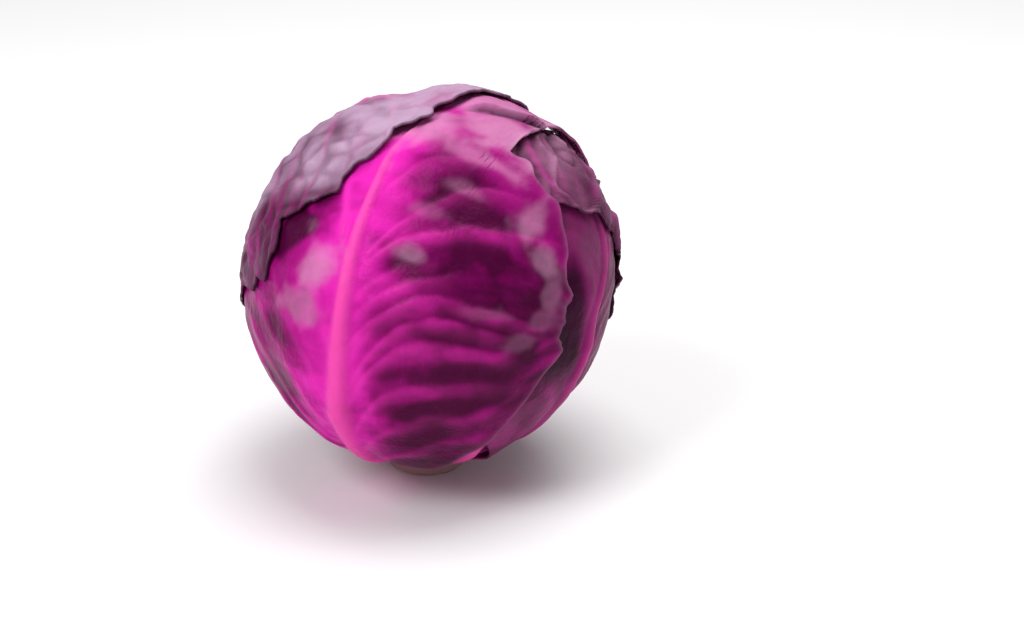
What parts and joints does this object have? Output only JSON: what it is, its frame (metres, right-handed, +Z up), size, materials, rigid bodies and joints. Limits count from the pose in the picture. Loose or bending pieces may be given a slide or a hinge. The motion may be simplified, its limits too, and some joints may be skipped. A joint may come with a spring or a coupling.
{
  "type": "red cabbage",
  "caption": "Whole red cabbage head: broad overlapping purple leaves with pink midribs wrapped round a packed heart, standing on its flat cut stem.",
  "frame": {"origin": "centre of the stem's flat cut face, on the surface that the head stands on", "axes": "+Z up along the stem to the crown; -Y towards the front, where the broad front leaf shows its midrib; +X to the right"},
  "size_m": [0.1672, 0.1668, 0.1711],
  "materials": {
    "leaf": "smooth waxy leaf, magenta to dark purple with a pale lavender bloom",
    "heart": "smooth waxy leaf, dark purple",
    "stem": "matt cut plant stalk, cream with a darker rim"
  },
  "bodies": {
    "root": {"stem": "stem", "heart": "heart", "leaf_back_inner": "leaf", "leaf_front_inner": "leaf", "leaf_back": "leaf", "leaf_right": "leaf", "leaf_left": "leaf", "leaf_back_right": "leaf", "leaf_front": "leaf", "leaf_crown": "leaf"}
  },
  "joints": []
}
